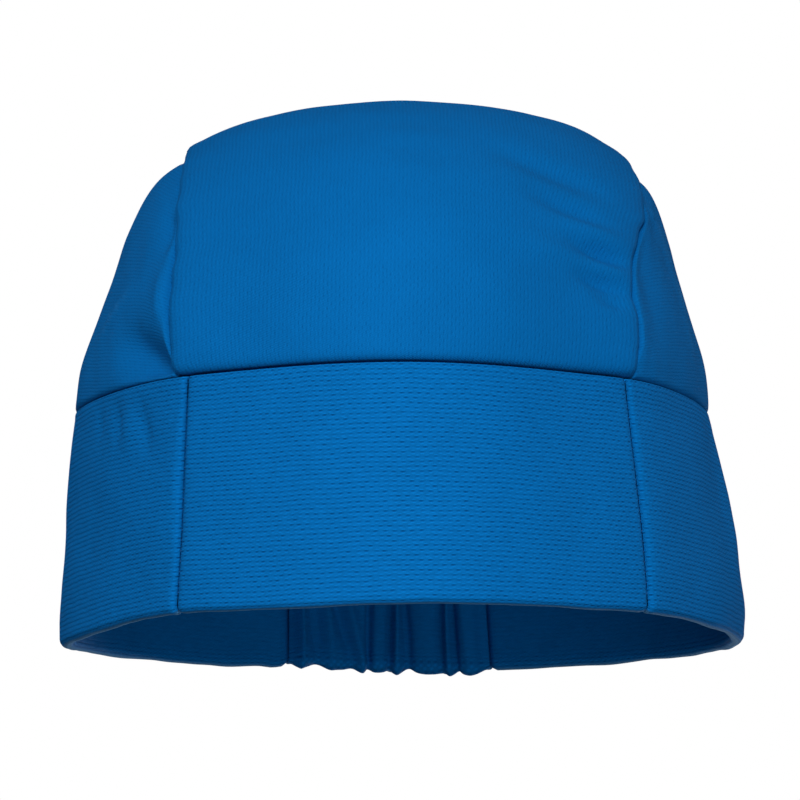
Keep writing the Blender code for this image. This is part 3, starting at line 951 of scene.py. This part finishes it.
# Where each loop goes: over the face, round the trimmed edge and back underneath.
LOOP_ACROSS = np.array([0.10, 0.35, 0.65, 0.92, 1.06, 0.92, 0.65, 0.35, 0.10])
LOOP_SIDE = np.array([1, 1, 1, 0.95, 0, -0.95, -1, -1, -1])
LOOP_ALONG = np.array([0.0, 0.12, 0.28, 0.42, 0.5, 0.58, 0.72, 0.88, 1.0])
NEEDLE_ACROSS = 0.22


def overlock(node, lines, closed=False):
    """lines are rows of points from the seam to the trimmed edge. Returns the edges and their threads."""
    run = run_lengths(lines)
    length = run[0, -1]
    across = np.linspace(0, 1, len(lines))[:, None]
    # The pressed edges are thinner at the rims, and dented by each stitch.
    rim = np.minimum(smooth(-0.25, 0.12, across), smooth(1.08, 0.85, across))
    dented = 1 - 0.10 * np.cos(2 * np.pi * run / STITCH_PITCH)
    half = ALLOWANCE_THICKNESS / 2 * rim * dented
    uv = np.stack([run, ALLOWANCE_WIDTH * across + 0 * run], axis=-1)
    edges = slab("visual_" + node, lines, half, uv, crown_knit, closed)
    out = grid_normals(lines)
    count = int(length / STITCH_PITCH)
    stitch = (np.arange(count)[:, None] + LOOP_ALONG) / count
    face = ALLOWANCE_THICKNESS / 2 + THREAD_RADIUS
    off_face = face * LOOP_SIDE[:, None] * on_grid(out, LOOP_ACROSS, stitch)
    loops = on_grid(lines, LOOP_ACROSS, stitch) + off_face
    threads = [tubes("visual_" + node + "_looper_threads", loops, THREAD_RADIUS, thread)]
    steps = np.linspace(0, 1, 7)
    needle_across = NEEDLE_ACROSS + 0 * steps
    needle = (np.arange(count)[:, None] + steps) / count
    sunk = (face - 0.35 * np.cos(2 * np.pi * steps) ** 2)[:, None]
    line = on_grid(lines, needle_across, needle) + sunk * on_grid(out, needle_across, needle)
    threads.append(tubes("visual_" + node + "_needle_thread", line, THREAD_RADIUS, thread))
    return edges, threads, length


def on_grid(grid, across, along):
    """Points of a grid at shares of its rows and columns, by even steps between its points."""
    rows, columns = grid.shape[:2]
    i = np.clip(np.broadcast_to(across, along.shape), 0, 1.1) * (rows - 1)
    j = np.clip(along, 0, 1) * (columns - 1)
    i0, j0 = np.clip(i.astype(int), 0, rows - 2), np.clip(j.astype(int), 0, columns - 2)
    s, t = (i - i0)[..., None], (j - j0)[..., None]
    low = between(grid[i0, j0], grid[i0, j0 + 1], t)
    high = between(grid[i0 + 1, j0], grid[i0 + 1, j0 + 1], t)
    return between(low, high, s)


def crown_seam_lines(side):
    """The allowance of the seam between the centre panel and a side panel, inside the crown."""
    shares = np.linspace(0.012, 0.988, 200)
    x = STRIP_HALF + ALLOWANCE_WIDTH * (np.linspace(1, 0, 6) - 0.5)
    line = crown_lines(x, shares)[0]
    line = slid(line, edge_shift(side, line))
    rise = line[..., 2]
    depth = CROWN_SEAM_DEPTH + recess(side, rise) + CROWN_SEAM_DIP * smooth(14, 5, rise)
    points = crown_point(line[..., 0], line[..., 1], rise, -depth)
    points[..., 0] *= side
    return points if side > 0 else points[:, ::-1]


def join_seam_lines():
    """The allowance of the seam between crown and band, which hangs inside the band's top."""
    angle = np.linspace(-np.pi, np.pi, 481)[None, :]
    height = BAND_HEIGHT - 0.5 - (ALLOWANCE_WIDTH - 0.5) * np.linspace(0, 1, 6)[:, None]
    at_nape = smooth(REAR_SEAM - 0.16, REAR_SEAM, np.abs(angle))
    inset = BAND_THICKNESS + 1.5 + ALLOWANCE_THICKNESS / 2 + 2.4 * at_nape
    inset = inset + 0.2 * waves(angle * 90, height, 14, 51) * smooth(np.pi, np.pi - 0.2, np.abs(angle))
    return band_point(angle, height + 0 * angle, inset + 0 * height)


# Between these heights the band's cavity is free of its own seams.
CAVITY_FOOT = 4.4
CAVITY_TOP = BAND_HEIGHT - 5


def upright_seam_lines(seam, aside=0.0):
    """The allowance of an upright seam, pressed flat between the band's walls."""
    height = np.linspace(CAVITY_FOOT, CAVITY_TOP, 90)[None, :]
    half = ALLOWANCE_WIDTH / 2 / HEM_WIDTH
    angle = seam_angle(seam, height) + aside + half * np.linspace(-1, 1, 6)[:, None]
    return band_point(angle, height + 0 * angle, BAND_THICKNESS / 2)


def overlocked_seams():
    # At the nape the allowances are pressed away from the casing.
    past = 1.2 * ALLOWANCE_WIDTH / 2 / HEM_WIDTH
    lines = {
        "overlock_crown_seam_left": crown_seam_lines(1),
        "overlock_crown_seam_right": crown_seam_lines(-1),
        "overlock_band_join_seam": join_seam_lines(),
        "overlock_seam_front_left": upright_seam_lines("front_left"),
        "overlock_seam_front_right": upright_seam_lines("front_right"),
        "overlock_seam_rear_left": upright_seam_lines("rear_left", -past),
        "overlock_seam_rear_right": upright_seam_lines("rear_right", past),
    }
    return {node: overlock(node, grid) for node, grid in lines.items()}


# What lies in the band and hangs inside it.


CHANNEL_PITCH = 9.0
ELASTIC_RIB_PITCH = 1.25


def sweat_pad():
    """Absorbent pad with quilted channels, thin at its rims."""
    margin = ALLOWANCE_WIDTH / HEM_WIDTH
    angle = between(margin - FRONT_SEAM, FRONT_SEAM - margin, np.linspace(0, 1, 90))[None, :]
    height = np.linspace(CAVITY_TOP, CAVITY_FOOT, 40)[:, None]
    middle = band_point(angle + 0 * height, height + 0 * angle, BAND_THICKNESS / 2)
    run = run_lengths(middle)
    down = BAND_HEIGHT - height
    to_side = np.minimum(run, run[:, -1:] - run)
    rim = np.minimum(to_side, np.minimum(height - CAVITY_FOOT, CAVITY_TOP - height))
    channel = np.abs(np.sin(np.pi * run / CHANNEL_PITCH)) ** 0.5
    half = between(0.2, 0.75, smooth(0, 2.5, rim)) * between(0.72, 1.0, channel)
    uv = np.stack([run, down + 0 * run], axis=-1)
    return slab("visual_brow_sweat_pad", middle, half, uv, terry)


def nape_elastic():
    """Flat elastic with ribs along it."""
    low, high = low_mm("rear_elastic_band")[2], high_mm("rear_elastic_band")[2]
    margin = ALLOWANCE_WIDTH / 2 / HEM_WIDTH
    angle = between(REAR_SEAM + margin, 2 * np.pi - REAR_SEAM - margin, np.linspace(0, 1, 60))[None, :]
    height = np.linspace(high, low, 130)[:, None]
    inset = BAND_THICKNESS / 2 + CAVITY + 0.15 * waves(angle * 90, height, 8, 61)
    middle = band_point(angle + 0 * height, height + 0 * angle, inset)
    run = run_lengths(middle)
    rib = np.abs(np.sin(np.pi * (high - height) / ELASTIC_RIB_PITCH)) ** 0.6
    half = 0.42 + 0.18 * rib + 0 * run
    uv = np.stack([run, height + 0 * run], axis=-1)
    return slab("visual_rear_elastic_band", middle, half, uv, elastic), float(run[0, -1]), high - low


# How much further from the band the label's far layer hangs.
LABEL_TURN = 1.2


def care_label():
    """A blank satin ribbon, folded in two and caught in the seam at the band's top."""
    low, high = low_mm("care_label"), high_mm("care_label")
    middle_x, middle_y = (low[0] + high[0]) / 2, (low[1] + high[1]) / 2
    centre = outline_angle(middle_x, middle_y, HEM_DEPTH)
    half = (high[1] - low[1]) / 2 / np.sin(centre) / HEM_WIDTH * 1.1
    drop = high[2] - low[2]
    angle = between(centre - half, centre + half, np.linspace(0, 1, 24))[None, :]
    # Down the near layer, round the fold and up the far one.
    layer = np.linspace(0, drop - 0.6, 30)
    down = np.concatenate([layer, [drop - 0.2, drop, drop - 0.2], layer[::-1]])[:, None]
    far = np.concatenate([0 * layer, [0.15, 0.6, 1.05], LABEL_TURN + 0 * layer])[:, None]
    hang = down / drop
    curl = 1.3 * hang ** 2 * (1 + 0.8 * ((angle - centre) / half) ** 2)
    inset = BAND_THICKNESS + 2.6 + 1.2 * hang * far + curl - 0.6 * (1 - hang) * (1 - far)
    points = band_point(angle, high[2] - down + 0 * angle, inset)
    run = run_lengths(points)
    cloth_run = np.concatenate([[0], np.cumsum(np.abs(np.diff(down[:, 0])) + 0.2)])[:, None]
    uv = np.stack([run, cloth_run + 0 * run], axis=-1)
    piece = cloth_piece("visual_care_label", points[:, ::-1], uv, satin, thickness=0.25)
    return piece, float(run[0, -1]), float(2 * drop + 1.5)


# Floor, lights and camera.


def either(tree, choice, first, second, output):
    """Shows the first shader where choice is 0 and the second where it is 1."""
    choose = tree.nodes.new("ShaderNodeMixShader")
    for source, socket in zip((choice, first.outputs[0], second.outputs[0]), choose.inputs):
        tree.links.new(source, socket)
    tree.links.new(choose.outputs[0], tree.nodes[output].inputs["Surface"])


def floor():
    """A pale plane that can be seen through from below, where the camera is."""
    material = bpy.data.materials.new("pale_floor")
    material.use_nodes = True
    tree = material.node_tree
    shader = tree.nodes["Principled BSDF"]
    shader.inputs["Base Color"].default_value = (0.86, 0.86, 0.86, 1)
    shader.inputs["Roughness"].default_value = 0.9
    clear = tree.nodes.new("ShaderNodeBsdfTransparent")
    facing = tree.nodes.new("ShaderNodeNewGeometry")
    either(tree, facing.outputs["Backfacing"], shader, clear, "Material Output")
    mesh = bpy.data.meshes.new("floor")
    reach = 3.0
    corners = [(-reach, -reach, 0), (reach, -reach, 0), (reach, reach, 0), (-reach, reach, 0)]
    mesh.from_pydata(corners, [], [(0, 1, 2, 3)])
    mesh.materials.append(material)
    obj = bpy.data.objects.new("floor", mesh)
    bpy.context.collection.objects.link(obj)
    # It takes shadows, but keeps no light from the hem of the cap, which is seen from below.
    obj.visible_diffuse = False
    obj.visible_glossy = False
    obj.visible_transmission = False
    obj.visible_shadow = False


LIT_MIDDLE = Vector((0, 0, 0.06))
# Place, size in metres and power in watts.
LIGHTS = {
    "key_from_the_front": ((-0.12, -1.75, 0.85), 0.7, 24.5),
    "side_light_left": ((-1.6, -0.95, 0.9), 0.6, 11),
    "side_light_right": ((1.4, -1.2, 0.9), 0.6, 4),
    "glow_from_below_left": ((-1.0, -0.8, -0.8), 0.3, 0.8),
    "fill_from_below": ((0.5, -1.1, -0.45), 0.9, 3.6),
    "rim_from_the_right": ((1.3, 0.75, 0.45), 0.3, 2),
    "glow_under_the_hem": ((0.35, 1.3, -0.45), 0.5, 8),
}


def area_light(name, place, size, power):
    data = bpy.data.lights.new(name, "AREA")
    data.shape = "DISK"
    data.size = size
    data.energy = power
    lamp = bpy.data.objects.new(name, data)
    lamp.location = place
    lamp.rotation_euler = (LIT_MIDDLE - Vector(place)).to_track_quat("-Z", "Y").to_euler()
    bpy.context.collection.objects.link(lamp)


def lights():
    for name, (place, size, power) in LIGHTS.items():
        area_light(name, place, size, power)
    world = bpy.data.worlds.new("studio")
    bpy.context.scene.world = world
    world.use_nodes = True
    tree = world.node_tree
    seen = tree.nodes["Background"]
    seen.inputs["Color"].default_value = (1, 1, 1, 1)
    seen.inputs["Strength"].default_value = 1.0
    around = tree.nodes.new("ShaderNodeBackground")
    around.inputs["Color"].default_value = (1, 1, 1, 1)
    around.inputs["Strength"].default_value = 0.10
    path = tree.nodes.new("ShaderNodeLightPath")
    either(tree, path.outputs["Is Camera Ray"], around, seen, "World Output")
    bpy.context.scene.view_settings.view_transform = "Standard"


def camera():
    """Below the hem's level and looking up a little, so that the inside of the nape shows under the hem."""
    data = bpy.data.cameras.new("camera")
    data.lens = 234
    data.sensor_width = 36
    obj = bpy.data.objects.new("camera", data)
    azimuth, elevation, distance = np.radians(-2.6), np.radians(-7.85), 1.3
    middle = Vector((0, 0, 0.07 + RISE * MM))
    level, up = distance * np.cos(elevation), distance * np.sin(elevation)
    obj.location = middle + Vector((level * np.sin(azimuth), -level * np.cos(azimuth), up))
    aim = middle + Vector((-0.0012, 0, -0.0100))
    obj.rotation_euler = (aim - obj.location).to_track_quat("-Z", "Y").to_euler()
    bpy.context.collection.objects.link(obj)
    bpy.context.scene.camera = obj


# Putting the cap together.


def stand_in(piece, node):
    """piece shows instead of the CAD node."""
    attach(piece, "root")
    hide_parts(node)


# The casing's cloth was wider before the elastic gathered it.
CASING_SURPLUS = 1.25

for node, plan in BAND_PANELS.items():
    piece, width, length = band_panel("visual_" + node, *plan)
    stand_in(piece, node)
    gathered = node == "rear_elastic_casing"
    width *= CASING_SURPLUS if gathered else 1.0

for node, (piece, width, length) in crown_panels().items():
    stand_in(piece, node)

for node, (edges, threads, length) in overlocked_seams().items():
    stand_in(edges, node)
    for strand in threads:
        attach(strand, "root")

pad = sweat_pad()
stand_in(pad, "brow_sweat_pad")

band, width, length = nape_elastic()
stand_in(band, "rear_elastic_band")

label, width, length = care_label()
stand_in(label, "care_label")

floor()
lights()
camera()
